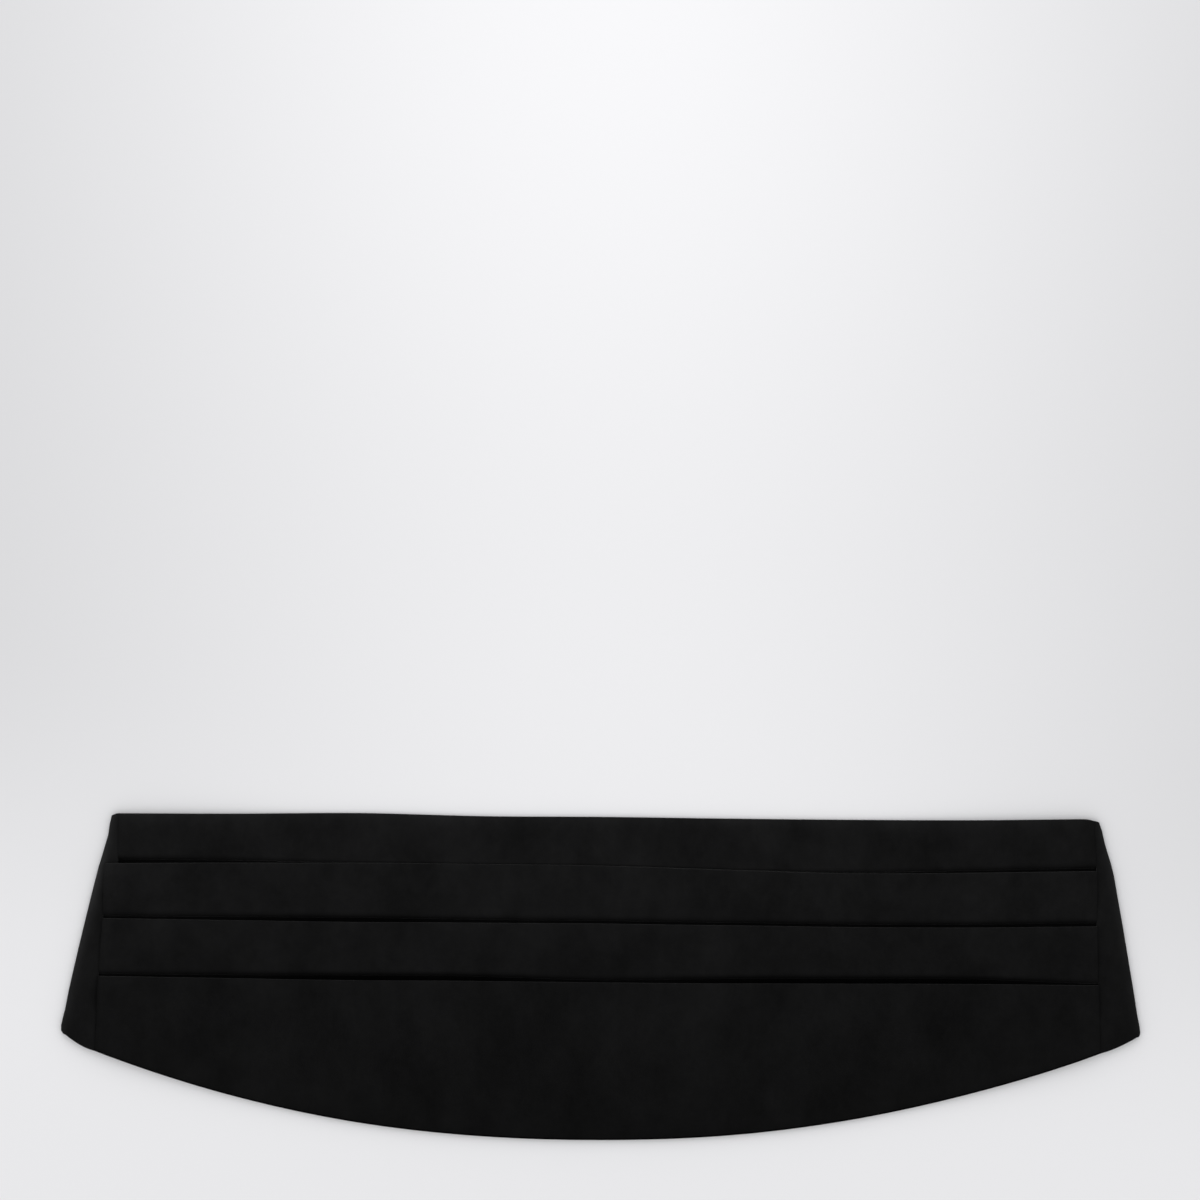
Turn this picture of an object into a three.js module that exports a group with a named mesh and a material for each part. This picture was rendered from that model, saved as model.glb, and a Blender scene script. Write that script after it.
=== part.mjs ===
// A cummerbund: a pleated waist sash, fastened behind and laid flat with its front side up.
// Millimetres, +Z up. X runs across the waist, Y runs up the body, and Z = 0 is the surface it lies on.
// The origin is on that surface, below the middle of the outline.
// The front is one cloth, turned under along its hem and its top edge and folded into pleats that open
// upward. At each side it is sewn to a side panel, which turns under along a slanting fold and tapers to
// a back strap. The clasp joins the two straps.

import * as THREE from 'three';
import { mergeVertices } from 'three/addons/utils/BufferGeometryUtils.js';

// Front
const frontWidth = 450; // between the lower side corners
const frontHeight = 136; // from the top edge down to the lowest point of the hem
const hemRise = 36; // how far the hem climbs from the middle to each side seam
const hemPower = 2.2; // 2 would be a parabola; more makes the middle of the hem flatter
const frontWall = 1; // the pleated cloth
const hemTurn = 10; // width of the cloth that is turned under along the hem
const topTurn = 8; // and along the top edge
const pleatDepth = 8; // how far each band runs on, unseen, behind the next one down
const mouthLength = 4; // over which a band comes up out of the pleat below it
const flatShare = 0.6; // share of the lowest band that lies flat, up from the hem
const layerGap = 0.3; // between layers of cloth that lie on each other

// Side panels
const panelWall = 1.2;
const rollGap = 0.6; // inside a side panel where it turns under
const seamGap = 0.3; // between pieces that are sewn edge to edge
const cornerDrop = 90; // from the top of the outline down to the lower side corners
const panelReach = 88; // from the middle of the back out to where a side panel ends in its strap
const taperShare = 0.78; // share of the way in at which a side panel's edges have turned level

// Back straps
const strapWidth = 36;
const strapWall = 1;
const strapLevel = 1; // height of the straps' centre line above the middle of the outline
const strapTail = 24; // end of the strap that is turned back past the clasp's bar
const tailFall = 10; // length over which that end comes down onto the strap

// Clasp
const claspWall = 1.2;
const claspBar = 3.5; // width of each bar and of the rim
const claspSlot = 4.5; // width of the slot between two bars
const claspCorner = 3;
const slotCorner = 1.2;
const slotClearance = 1; // at each edge of a strap in its slot

// How the front drapes over what lies under it
const drapeMargin = 8; // it stays level this far past what carries it
const drapeLength = 30; // and comes down to the surface over this length
const claspDrape = 60; // it comes down from the clasp to the straps over this length

// Mesh cells
const frontColumns = 28;
const hemCells = 5; // up the flat part of the lowest band
const topCells = 2; // up the flat part of the top band
const slopeCells = 4; // along each slope of a folded cloth
const mouthCells = 3; // along each mouth of a pleat
const bendCells = 4; // in each fold of the front
const rollCells = 6; // round a side panel's turn, and round a strap's
const underCells = 7; // along the part of a side panel that lies under the front
const strapCells = 4; // along a strap, from its side panel to the clasp
const cornerCells = 4; // in each round corner of the clasp

const clothColour = 0x1a1a1b;
const claspColour = 0x8c8d90;

// The front's lines, by quarters from its left seam to its right one: how far each lies below the top
// of the outline, as a share of frontHeight.
const topEdge = { left: 0.001, midLeft: 0, middle: 0.014, midRight: 0.02, right: 0.025 };
const pleatLines = [
  { left: 0.144, midLeft: 0.148, middle: 0.162, midRight: 0.173, right: 0.173 },
  { left: 0.315, midLeft: 0.325, middle: 0.331, midRight: 0.34, right: 0.343 },
  { left: 0.492, midLeft: 0.501, middle: 0.511, midRight: 0.516, right: 0.521 },
];

// How a slope of the cloth bends: evenly, or steeply at first and then level, as in a pleat's mouth.
const evenSlope = { start: 0.5, end: 0.5 };
const mouthSlope = { start: 0.25, end: 0.35 };

// Sections up each side. level is the share of the way from the lower corner, or the hem, to the top
// edge. fold and seam are distances from the middle of the front, as shares of half of frontWidth.
const leftSide = [
  { level: 0, fold: 1, seam: 0.936 },
  { level: 0.07, fold: 0.995, seam: 0.935 },
  { level: 0.25, fold: 0.979, seam: 0.932 },
  { level: 0.5, fold: 0.956, seam: 0.923 },
  { level: 0.72, fold: 0.932, seam: 0.919 },
  { level: 0.785, fold: 0.926, seam: 0.915 },
  { level: 0.83, fold: 0.92, seam: 0.909 },
  { level: 0.93, fold: 0.911, seam: 0.897 },
  { level: 0.985, fold: 0.905, seam: 0.89 },
  { level: 1, fold: 0.898, seam: 0.888 },
];
const rightSide = [
  { level: 0, fold: 1, seam: 0.93 },
  { level: 0.08, fold: 0.995, seam: 0.93 },
  { level: 0.25, fold: 0.984, seam: 0.928 },
  { level: 0.5, fold: 0.968, seam: 0.925 },
  { level: 0.75, fold: 0.95, seam: 0.923 },
  { level: 0.83, fold: 0.942, seam: 0.921 },
  { level: 0.93, fold: 0.931, seam: 0.917 },
  { level: 0.985, fold: 0.925, seam: 0.913 },
  { level: 1, fold: 0.915, seam: 0.904 },
];

// Sizes that follow from the ones above
const topY = frontHeight / 2;
const hemY = -frontHeight / 2;
const cornerY = topY - cornerDrop;
const straps = { top: strapLevel + strapWidth / 2, bottom: strapLevel - strapWidth / 2 };
const claspLength = 3 * claspBar + 2 * claspSlot;
const claspUnderside = strapWall + layerGap;
const loopHeight = 2 * claspUnderside + claspWall;
const outerBarEnd = -claspLength / 2 + claspBar; // the inner edge of the left bar

const { lerp, clamp, smoothstep } = THREE.MathUtils;

// Height of one of the front's lines, at a share u of the way from the left seam to the right one.
function lineHeight(line, u) {
  const drops = [line.left, line.midLeft, line.middle, line.midRight, line.right];
  const last = drops.length - 1;
  const points = drops.map((drop, i) => new THREE.Vector2(i / last, topY - drop * frontHeight));
  return new THREE.SplineCurve(points).getPoint(u).y;
}

function hemHeight(u) {
  return hemY + hemRise * Math.abs(2 * u - 1) ** hemPower;
}

// The fold and the seam of one side as points of the plan, a pair for each section.
function sideSections(table, side) {
  const halfWidth = side * frontWidth / 2;
  const u = side < 0 ? 0 : 1;
  const top = lineHeight(topEdge, u);
  const hem = hemHeight(u);
  return table.map(({ level, fold, seam }) => ({
    fold: new THREE.Vector2(fold * halfWidth, lerp(cornerY, top, level)),
    seam: new THREE.Vector2(seam * halfWidth, lerp(hem, top, level)),
  }));
}

const leftSections = sideSections(leftSide, -1);
const rightSections = sideSections(rightSide, 1);

// Where a seam is at height y.
function seamAt(sections, y) {
  const seams = sections.map(({ seam }) => seam);
  const last = seams.length - 1;
  const next = Math.max(1, seams.findIndex((seam, i) => i === last || seam.y > y));
  const [below, above] = [seams[next - 1], seams[next]];
  return lerp(below.x, above.x, clamp((y - below.y) / (above.y - below.y), 0, 1));
}

// Height of the front's underside over the surface. It lies on the side panels, the straps and the
// clasp, and comes down to the surface past their edges.
function drapeHeight(x, y) {
  const sections = x < 0 ? leftSections : rightSections;
  const reach = Math.abs(x) - panelReach;
  const upShare = clamp(reach / (Math.abs(sections.at(-1).fold.x) - panelReach), 0, 1);
  const downShare = clamp(reach / (Math.abs(sections[0].fold.x) - panelReach), 0, 1);
  const upper = lerp(straps.top, sections.at(-1).fold.y, upShare);
  const lower = lerp(straps.bottom, cornerY, downShare);
  const past = Math.max(y - upper, lower - y) - drapeMargin;
  const fromClasp = Math.abs(x) - claspLength / 2 - drapeMargin;
  const panelTop = Math.max(panelWall, strapWall) + layerGap;
  const carried = lerp(loopHeight + layerGap, panelTop, smoothstep(fromClasp, 0, claspDrape));
  return carried * (1 - smoothstep(past, 0, drapeLength));
}

// The stretches of a folded cloth's section, each with the number of cells along it.
function flatStretch(x0, x1, z, cells) {
  return { curve: new THREE.LineCurve(new THREE.Vector2(x0, z), new THREE.Vector2(x1, z)), cells };
}

// A slope that starts and ends level. The shares say how far along its two handles reach.
function slopeStretch(x0, z0, x1, z1, cells, shares = evenSlope) {
  const handles = [[lerp(x0, x1, shares.start), z0], [lerp(x0, x1, shares.end), z1]];
  const points = [[x0, z0], ...handles, [x1, z1]].map(([x, z]) => new THREE.Vector2(x, z));
  return { curve: new THREE.CubicBezierCurve(...points), cells };
}

function foldStretch(x, z, radius, startAngle, endAngle, cells) {
  const clockwise = endAngle < startAngle;
  return { curve: new THREE.EllipseCurve(x, z, radius, radius, startAngle, endAngle, clockwise), cells };
}

// The points along a section, each with the direction of the cloth's face there.
function sampleStretches(stretches) {
  const samples = [];
  stretches.forEach(({ curve, cells }, i) => {
    for (let step = i === 0 ? 0 : 1; step <= cells; step += 1) {
      const tangent = curve.getTangent(step / cells);
      const face = new THREE.Vector2(-tangent.y, tangent.x);
      samples.push({ point: curve.getPoint(step / cells), face });
    }
  });
  return samples;
}

// A sheet of cloth as one closed solid, columns by rows cells. place gives the position of a grid
// point. Its side is -0.5 on the back of the cloth and 0.5 on its face.
function clothGeometry(columns, rows, place) {
  const sheet = new THREE.BoxGeometry(1, 1, 1, columns, rows, 1);
  const corners = sheet.getAttribute('position');
  for (let i = 0; i < corners.count; i += 1) {
    const column = Math.round((corners.getX(i) + 0.5) * columns);
    const row = Math.round((corners.getY(i) + 0.5) * rows);
    const at = place(column, row, corners.getZ(i));
    corners.setXYZ(i, at.x, at.y, at.z);
  }
  sheet.deleteAttribute('normal');
  sheet.deleteAttribute('uv');
  const solid = mergeVertices(sheet);
  solid.computeVertexNormals();
  return solid;
}

// The front's section at u, in Y and Z, from the hem to the top edge. Heights are over its underside.
// Layer 0 is the lowest: the turned edges, and where a band passes behind the next one down. The bands
// lie in layer 1 and come up to layer 2 at their folded edges, over the pleat's back in layer 1.
function frontStretches(u) {
  const pitch = frontWall + layerGap; // from one layer to the next
  const bend = pitch / 2;
  const reach = bend + frontWall / 2; // from the middle of a fold to its outer face
  const layer = (n) => frontWall / 2 + n * pitch;
  const hem = hemHeight(u);
  const top = lineHeight(topEdge, u);
  const stretches = [
    flatStretch(hem + hemTurn, hem + reach, layer(0), 1),
    foldStretch(hem + reach, layer(0.5), bend, -Math.PI / 2, -3 * Math.PI / 2, bendCells),
  ];
  let landing = lerp(hem + reach, lineHeight(pleatLines.at(-1), u) - pleatDepth, flatShare);
  stretches.push(flatStretch(hem + reach, landing, layer(1), hemCells));
  [...pleatLines].reverse().forEach((line) => {
    const edge = lineHeight(line, u);
    const inner = edge - pleatDepth;
    const lift = inner - reach - layerGap;
    const mouth = edge + layerGap;
    stretches.push(
      slopeStretch(landing, layer(1), lift, layer(2), slopeCells),
      flatStretch(lift, edge - reach, layer(2), 1),
      foldStretch(edge - reach, layer(1.5), bend, Math.PI / 2, -Math.PI / 2, bendCells),
      flatStretch(edge - reach, inner, layer(1), 1),
      foldStretch(inner, layer(0.5), bend, Math.PI / 2, 3 * Math.PI / 2, bendCells),
      flatStretch(inner, mouth, layer(0), 1),
      slopeStretch(mouth, layer(0), mouth + mouthLength, layer(1), mouthCells, mouthSlope),
    );
    landing = mouth + mouthLength;
  });
  stretches.push(
    flatStretch(landing, top - reach, layer(1), topCells),
    foldStretch(top - reach, layer(0.5), bend, Math.PI / 2, -Math.PI / 2, bendCells),
    flatStretch(top - reach, top - topTurn, layer(0), 1),
  );
  return stretches;
}

function buildFront() {
  const across = Array.from({ length: frontColumns + 1 }, (_, i) => i / frontColumns);
  const sections = across.map((u) => sampleStretches(frontStretches(u)));
  const rows = sections[0].length - 1;
  return clothGeometry(frontColumns, rows, (column, row, side) => {
    const { point, face } = sections[column][row];
    const y = point.x + face.x * side * frontWall;
    const left = seamAt(leftSections, y) + seamGap / 2;
    const right = seamAt(rightSections, y) - seamGap / 2;
    const x = lerp(left, right, across[column]);
    return new THREE.Vector3(x, y, point.y + face.y * side * frontWall + drapeHeight(x, point.x));
  });
}

// A side panel's section, from the seam out to the fold, round it, and under the front to the strap.
// outward is the direction in the plan from the seam to the fold.
function panelSection({ fold, seam }, level, side) {
  const outward = fold.clone().sub(seam).normalize();
  const radius = (panelWall + rollGap) / 2;
  const centre = fold.clone().addScaledVector(outward, -(radius + panelWall / 2));
  const start = seam.clone().addScaledVector(outward, seamGap / 2);
  const end = new THREE.Vector2(side * (panelReach + seamGap / 2), lerp(straps.bottom, straps.top, level));
  const low = panelWall / 2;
  const samples = [{ plan: start, z: low + 2 * radius, face: new THREE.Vector3(0, 0, 1) }];
  for (let i = 0; i <= rollCells; i += 1) {
    const angle = Math.PI / 2 - Math.PI * i / rollCells;
    samples.push({
      plan: centre.clone().addScaledVector(outward, radius * Math.cos(angle)),
      z: low + radius + radius * Math.sin(angle),
      face: new THREE.Vector3(outward.x * Math.cos(angle), outward.y * Math.cos(angle), Math.sin(angle)),
    });
  }
  const control = new THREE.Vector2(lerp(centre.x, end.x, taperShare), end.y);
  const taper = new THREE.QuadraticBezierCurve(centre, control, end);
  for (let i = 1; i <= underCells; i += 1) {
    samples.push({ plan: taper.getPoint(i / underCells), z: low, face: new THREE.Vector3(0, 0, -1) });
  }
  return samples;
}

function buildSidePanel(table, sections, side) {
  const samples = sections.map((section, i) => panelSection(section, table[i].level, side));
  const rows = sections.length - 1;
  return clothGeometry(samples[0].length - 1, rows, (column, row, wall) => {
    const { plan, z, face } = samples[side < 0 ? rows - row : row][column];
    return new THREE.Vector3(plan.x, plan.y, z).addScaledVector(face, wall * panelWall);
  });
}

// The left strap's section, in X and Z: along the surface to the clasp, round the bar and back.
function strapStretches() {
  const low = strapWall / 2;
  const high = loopHeight - low;
  const bendX = outerBarEnd + layerGap;
  const fallStart = -claspLength / 2 - slotClearance;
  const fallEnd = fallStart - tailFall;
  const tailHeight = low + strapWall + layerGap;
  return [
    flatStretch(-panelReach + seamGap / 2, bendX, low, strapCells),
    foldStretch(bendX, loopHeight / 2, loopHeight / 2 - low, -Math.PI / 2, Math.PI / 2, rollCells),
    flatStretch(bendX, fallStart, high, 1),
    slopeStretch(fallStart, high, fallEnd, tailHeight, slopeCells),
    flatStretch(fallEnd, fallStart - strapTail, tailHeight, 1),
  ];
}

function buildStrap() {
  const samples = sampleStretches(strapStretches());
  return clothGeometry(samples.length - 1, 1, (column, row, side) => {
    const { point, face } = samples[column];
    const y = lerp(-strapWidth / 2, strapWidth / 2, row);
    const x = point.x + face.x * side * strapWall;
    return new THREE.Vector3(x, y, point.y + face.y * side * strapWall);
  });
}

// Adds a rectangle with round corners, about x = centre and y = 0, to a shape or a hole.
function roundRectangle(path, centre, length, width, corner) {
  const x = length / 2 - corner;
  const y = width / 2 - corner;
  path.absarc(centre + x, y, corner, 0, Math.PI / 2);
  path.absarc(centre - x, y, corner, Math.PI / 2, Math.PI);
  path.absarc(centre - x, -y, corner, Math.PI, 3 * Math.PI / 2);
  path.absarc(centre + x, -y, corner, 3 * Math.PI / 2, 2 * Math.PI);
  path.closePath();
  return path;
}

// One flat plate with two slots: a rim, two outer bars and a middle bar.
function buildClasp() {
  const slotWidth = strapWidth + 2 * slotClearance;
  const slotCentre = (claspBar + claspSlot) / 2;
  const plate = roundRectangle(new THREE.Shape(), 0, claspLength, slotWidth + 2 * claspBar, claspCorner);
  [-slotCentre, slotCentre].forEach((centre) => {
    plate.holes.push(roundRectangle(new THREE.Path(), centre, claspSlot, slotWidth, slotCorner));
  });
  const options = { depth: claspWall, bevelEnabled: false, curveSegments: cornerCells };
  return new THREE.ExtrudeGeometry(plate, options);
}

function clothMaterial() {
  return new THREE.MeshStandardMaterial({ color: clothColour, roughness: 0.9, metalness: 0 });
}

function metalMaterial() {
  return new THREE.MeshStandardMaterial({ color: claspColour, roughness: 0.35, metalness: 1 });
}

function piece(name, geometry, material) {
  const mesh = new THREE.Mesh(geometry, material);
  mesh.name = name;
  return mesh;
}

function buildCummerbund() {
  const cloth = clothMaterial();
  const cummerbund = new THREE.Group();
  cummerbund.add(piece('pleated_front', buildFront(), cloth));
  cummerbund.add(piece('left_side_panel', buildSidePanel(leftSide, leftSections, -1), cloth));
  cummerbund.add(piece('right_side_panel', buildSidePanel(rightSide, rightSections, 1), cloth));

  const back = new THREE.Group();
  back.position.y = strapLevel;
  const strap = buildStrap();
  back.add(piece('left_back_strap', strap, cloth));
  const rightStrap = piece('right_back_strap', strap, cloth);
  rightStrap.rotation.z = Math.PI;
  back.add(rightStrap);
  const clasp = piece('clasp', buildClasp(), metalMaterial());
  clasp.position.z = claspUnderside;
  back.add(clasp);
  cummerbund.add(back);
  return cummerbund;
}

export default buildCummerbund();
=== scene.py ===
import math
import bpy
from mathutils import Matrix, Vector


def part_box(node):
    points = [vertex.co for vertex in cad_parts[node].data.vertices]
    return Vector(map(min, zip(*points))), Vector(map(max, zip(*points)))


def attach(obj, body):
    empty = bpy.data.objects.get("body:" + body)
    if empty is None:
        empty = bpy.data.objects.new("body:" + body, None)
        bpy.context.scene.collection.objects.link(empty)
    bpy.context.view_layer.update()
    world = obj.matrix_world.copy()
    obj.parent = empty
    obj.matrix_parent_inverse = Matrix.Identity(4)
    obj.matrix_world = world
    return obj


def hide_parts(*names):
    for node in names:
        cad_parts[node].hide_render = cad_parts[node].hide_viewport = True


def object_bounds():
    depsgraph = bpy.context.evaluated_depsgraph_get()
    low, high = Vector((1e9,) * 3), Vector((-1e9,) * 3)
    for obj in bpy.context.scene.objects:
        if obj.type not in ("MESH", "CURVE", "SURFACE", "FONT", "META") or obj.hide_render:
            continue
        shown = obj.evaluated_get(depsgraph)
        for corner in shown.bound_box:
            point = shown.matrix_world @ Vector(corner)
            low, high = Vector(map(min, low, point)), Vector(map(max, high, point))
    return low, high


bl_info = {
    "name": "Cummerbund",
    "version": (1, 0, 0),
    "blender": (4, 5, 0),
    "location": "View3D > Sidebar > Cummerbund",
    "description": "Models a pleated black cummerbund, lying flat, on its frame of solid pieces",
    "category": "Object",
}

import bmesh
import bpy
from mathutils import Vector, geometry, noise

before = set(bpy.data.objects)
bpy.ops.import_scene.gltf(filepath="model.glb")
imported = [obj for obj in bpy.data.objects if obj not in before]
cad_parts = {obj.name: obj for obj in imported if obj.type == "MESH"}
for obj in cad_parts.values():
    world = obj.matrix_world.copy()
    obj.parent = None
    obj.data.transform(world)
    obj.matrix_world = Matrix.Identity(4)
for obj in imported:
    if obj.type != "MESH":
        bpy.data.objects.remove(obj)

# Everything is in metres. X runs across the waist, Y up the body, and Z = 0 is the surface it lies on.
LOW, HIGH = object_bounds()
WIDTH = HIGH.x - LOW.x
HEIGHT = HIGH.y - LOW.y
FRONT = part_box("pleated_front")
LEFT_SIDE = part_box("left_side_panel")
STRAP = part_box("left_back_strap")
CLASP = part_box("clasp")

# The front's lines at nine even steps from its left seam to its right one: how far each lies below the
# top of the outline, as a share of the height.
TOP_EDGE = (0.0, 0.0012, 0.0, 0.0094, 0.0117, 0.0169, 0.0205, 0.0215, 0.0178)
PLEAT_LINES = (
    (0.152, 0.151, 0.152, 0.155, 0.16, 0.173, 0.1835, 0.182, 0.177),
    (0.321, 0.3265, 0.332, 0.334, 0.336, 0.342, 0.348, 0.3495, 0.346),
    (0.498, 0.504, 0.51, 0.512, 0.516, 0.5195, 0.521, 0.522, 0.5265),
)
# How far the hem lies below its plain curve, as a share of the height, at the same nine steps.
HEM_SHIFT = (-0.0074, -0.0037, -0.0003, 0.0006, 0.0018, 0.0015, -0.0012, -0.0029, 0.0009)
# How far the mouth of each pleat stands open, at the same nine steps. At 0 the two bands lie level.
PLEAT_MOUTHS = (
    (1.65, 1.0, 0.2, 0.0, 0.0, 0.1, 0.45, 1.0, 1.25),
    (1.05, 1.4, 1.85, 1.35, 1.25, 1.2, 1.25, 1.4, 1.45),
    (1.0, 1.35, 2.0, 1.95, 1.05, 1.95, 2.05, 2.0, 0.75),
)
# Sections up each side. level is the share of the way from the lower corner, or from the hem, to the
# top edge. across is a distance from the middle, as a share of half the width. painted_highlight is how
# much paler the cloth is painted along the fold as a highlight, 1 being usual. open is how far the seam
# gapes and is drawn down, and how much painted shade lies beside it, as a share of the most that it
# does. tone is how pale or dark the front is painted beside the seam as highlight and shade, 1 being usual.
LEFT_FOLD = {
    "level": (0, 0.01, 0.03, 0.06, 0.1, 0.2, 0.35, 0.5, 0.65, 0.75, 0.8, 0.85, 0.9, 0.96, 1),
    "across": (0.996, 0.999, 0.999, 0.9965, 0.992, 0.984, 0.97, 0.9555, 0.9405, 0.93, 0.924, 0.918,
               0.912, 0.909, 0.9055),
    "painted_highlight": (0.8, 0.8, 0.9, 0.95, 0.9, 0.75, 0.75, 0.9, 1.6, 1.6, 0.9, 0.6, 0.55, 0.6, 0.8),
}
LEFT_SEAM = {
    "level": (0, 0.06, 0.23, 0.307, 0.339, 0.4, 0.541, 0.765, 0.79, 0.985, 1),
    "across": (0.9355, 0.9347, 0.9325, 0.93, 0.929, 0.9267, 0.9212, 0.919, 0.893, 0.892, 0.891),
    "open": (0, 0.3, 1, 0.9, 0.6, 0.45, 0.25, 0.1, 0, 0, 0),
    "tone": (0.84, 0.84, 0.86, 0.95, 1.02, 1.05, 1.2, 1.3, 0.8, 0.82, 0.82),
}
RIGHT_FOLD = {
    "level": (0, 0.01, 0.02, 0.05, 0.1, 0.2, 0.35, 0.5, 0.65, 0.75, 0.8, 0.85, 0.9, 0.96, 1),
    "across": (0.9995, 1.0013, 1.0015, 0.9998, 0.9958, 0.9898, 0.9798, 0.97, 0.9595, 0.9525, 0.9475,
               0.9413, 0.9355, 0.931, 0.9257),
    "painted_highlight": (0.8, 0.8, 0.8, 0.8, 0.7, 0.7, 0.8, 0.8, 0.9, 1.0, 1.0, 1.1, 1.1, 1.1, 1.0),
}
RIGHT_SEAM = {
    "level": (0, 0.08, 0.25, 0.42, 0.55, 0.75, 0.83, 0.93, 1),
    "across": (0.9265, 0.926, 0.9243, 0.9215, 0.9205, 0.9203, 0.919, 0.917, 0.9147),
    "open": (0, 0.3, 0.5, 0.25, 0, 0, 0, 0, 0),
    "tone": (1.06, 1.06, 1.08, 1.12, 1.05, 0.88, 0.87, 0.87, 0.87),
}
TUCKED_STEP = (0.765, 0.79)  # levels between which the left seam steps inward, under the second band

# A side is -1 on the left and 1 on the right.
FOLDS = {-1: LEFT_FOLD, 1: RIGHT_FOLD}
SEAMS = {-1: LEFT_SEAM, 1: RIGHT_SEAM}
SIDE_NAMES = {-1: "left", 1: "right"}
SEAM_SHARES = {-1: 0, 1: 1}  # where a side's seam is, as a share of the front's width

SEAM_STEPS = (0.0, 0.0003, 0.0007, 0.0012, 0.0019, 0.003, 0.0045)  # from a seam to its first columns
SHUT_GAP = 0.00002  # between the pieces where a seam is shut
SHADE_REACH = 0.0025  # from a seam, over which the cloth is darker
FALL_REACH = 0.005  # from the top edge's right end, over which it comes down
TONE_RANGE = (0.05, 0.9)  # shares of the height from the top, between which the cloth's painted light fades darker
WAVE_SLANT = 1.6  # how much closer the cloth's waves follow each other up the body than across it
SMALL_WAVES = 2.7  # how much closer the small waves follow each other than the soft ones
WAVE_SHARES = (0.5, 0.4, 0.12)  # of the ripple's height: an even lift, the soft waves, the small ones
CUT_EDGE = 0.00015  # rounding of the cloth's cut edges


def metres(name, description, default):
    return bpy.props.FloatProperty(name=name, description=description, default=default, unit="LENGTH")


def fraction(name, description, default):
    return bpy.props.FloatProperty(
        name=name, description=description, default=default, subtype="FACTOR", min=0, max=1)


def factor(name, description, default, unit="NONE"):
    return bpy.props.FloatProperty(name=name, description=description, default=default, unit=unit)


def tint(name, description, default):
    return bpy.props.FloatVectorProperty(
        name=name, description=description, default=default, subtype="COLOR", size=3, min=0, max=1)


def count(name, description, default):
    return bpy.props.IntProperty(name=name, description=description, default=default)


class ClothSettings(bpy.types.PropertyGroup):
    colour: tint("Colour", "Black of the dyed cloth", (0.0036, 0.0036, 0.0037))
    thread: metres("Thread", "Distance from one thread of the twill to the next", 0.00042)
    relief: metres("Relief", "Height of the threads over the hollows between them", 0.00006)
    rib: metres("Rib", "Distance from one rib of the back straps to the next", 0.0009)
    sheen: fraction("Sheen", "How much light the nap of the cloth throws back at its edges", 0.12)
    gloss: fraction("Gloss", "How much the threads shine", 0.04)
    ripple: metres("Ripple", "Height of the soft waves in the cloth", 0.0003)
    ripple_length: metres("Ripple length", "Distance over which a soft wave comes and goes", 0.075)
    # top_tone and left_tone set the painted light, paler towards the top edge and to the left.
    top_tone: factor("Top tone", "How much paler the cloth is at the top edge than at the hem", 0.62)
    left_tone: factor("Left tone", "How much paler it is at the left than in the middle", 0.04)


class FrontSettings(bpy.types.PropertyGroup):
    wall: metres("Wall", "Thickness of the pleated cloth", 0.001)
    layer_gap: metres("Layer gap", "Between layers of cloth that lie on each other", 0.0003)
    hem_rise: metres("Hem rise", "How far the hem climbs from the middle to each seam", 0.036)
    hem_power: factor("Hem power", "2 is a parabola; more makes the middle of the hem flatter", 2.2)
    hem_turn: metres("Hem turn", "Cloth turned under along the hem", 0.01)
    top_turn: metres("Top turn", "Cloth turned under along the top edge", 0.008)
    pleat_depth: metres("Pleat depth", "How far each band runs on behind the next one down", 0.008)
    mouth_gap: metres("Mouth gap", "Between a pleat's edge and the band that comes up behind it", 0.0007)
    mouth_roll: metres("Mouth roll", "Over which that band rolls down into the pleat", 0.0026)
    # Painted shade in the pleats' mouths.
    mouth_dark: fraction("Mouth dark", "Share of its colour that the cloth loses deep in a pleat", 0.5)
    edge_roll: metres("Edge roll", "Over which the top band slopes to the top edge", 0.005)
    # Painted highlight along the top edge.
    edge_painted_highlight: factor("Edge rub", "How much paler the cloth has worn along the top edge", 0.6)
    # Painted highlight along the pleats' edges.
    pleat_painted_highlight: factor("Pleat rub", "How much paler it has worn along the pleats' edges", 0.12)
    hem_lift: metres("Hem lift", "How far the hem stands off the surface", 0.0005)
    # Painted shade round the hem.
    hem_dark: fraction("Hem dark", "Share of its colour that the cloth loses round the hem", 0.85)
    end_fall: metres("End fall", "How far the top edge comes down at its right end", 0.0008)
    end_reach: metres("End reach", "How far in from a seam the front's tone differs", 0.02)
    flat_share: fraction("Flat share", "Share of the lowest band that lies level", 0.6)
    columns: count("Columns", "Cells across the front, apart from those at the seams", 180)


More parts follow.
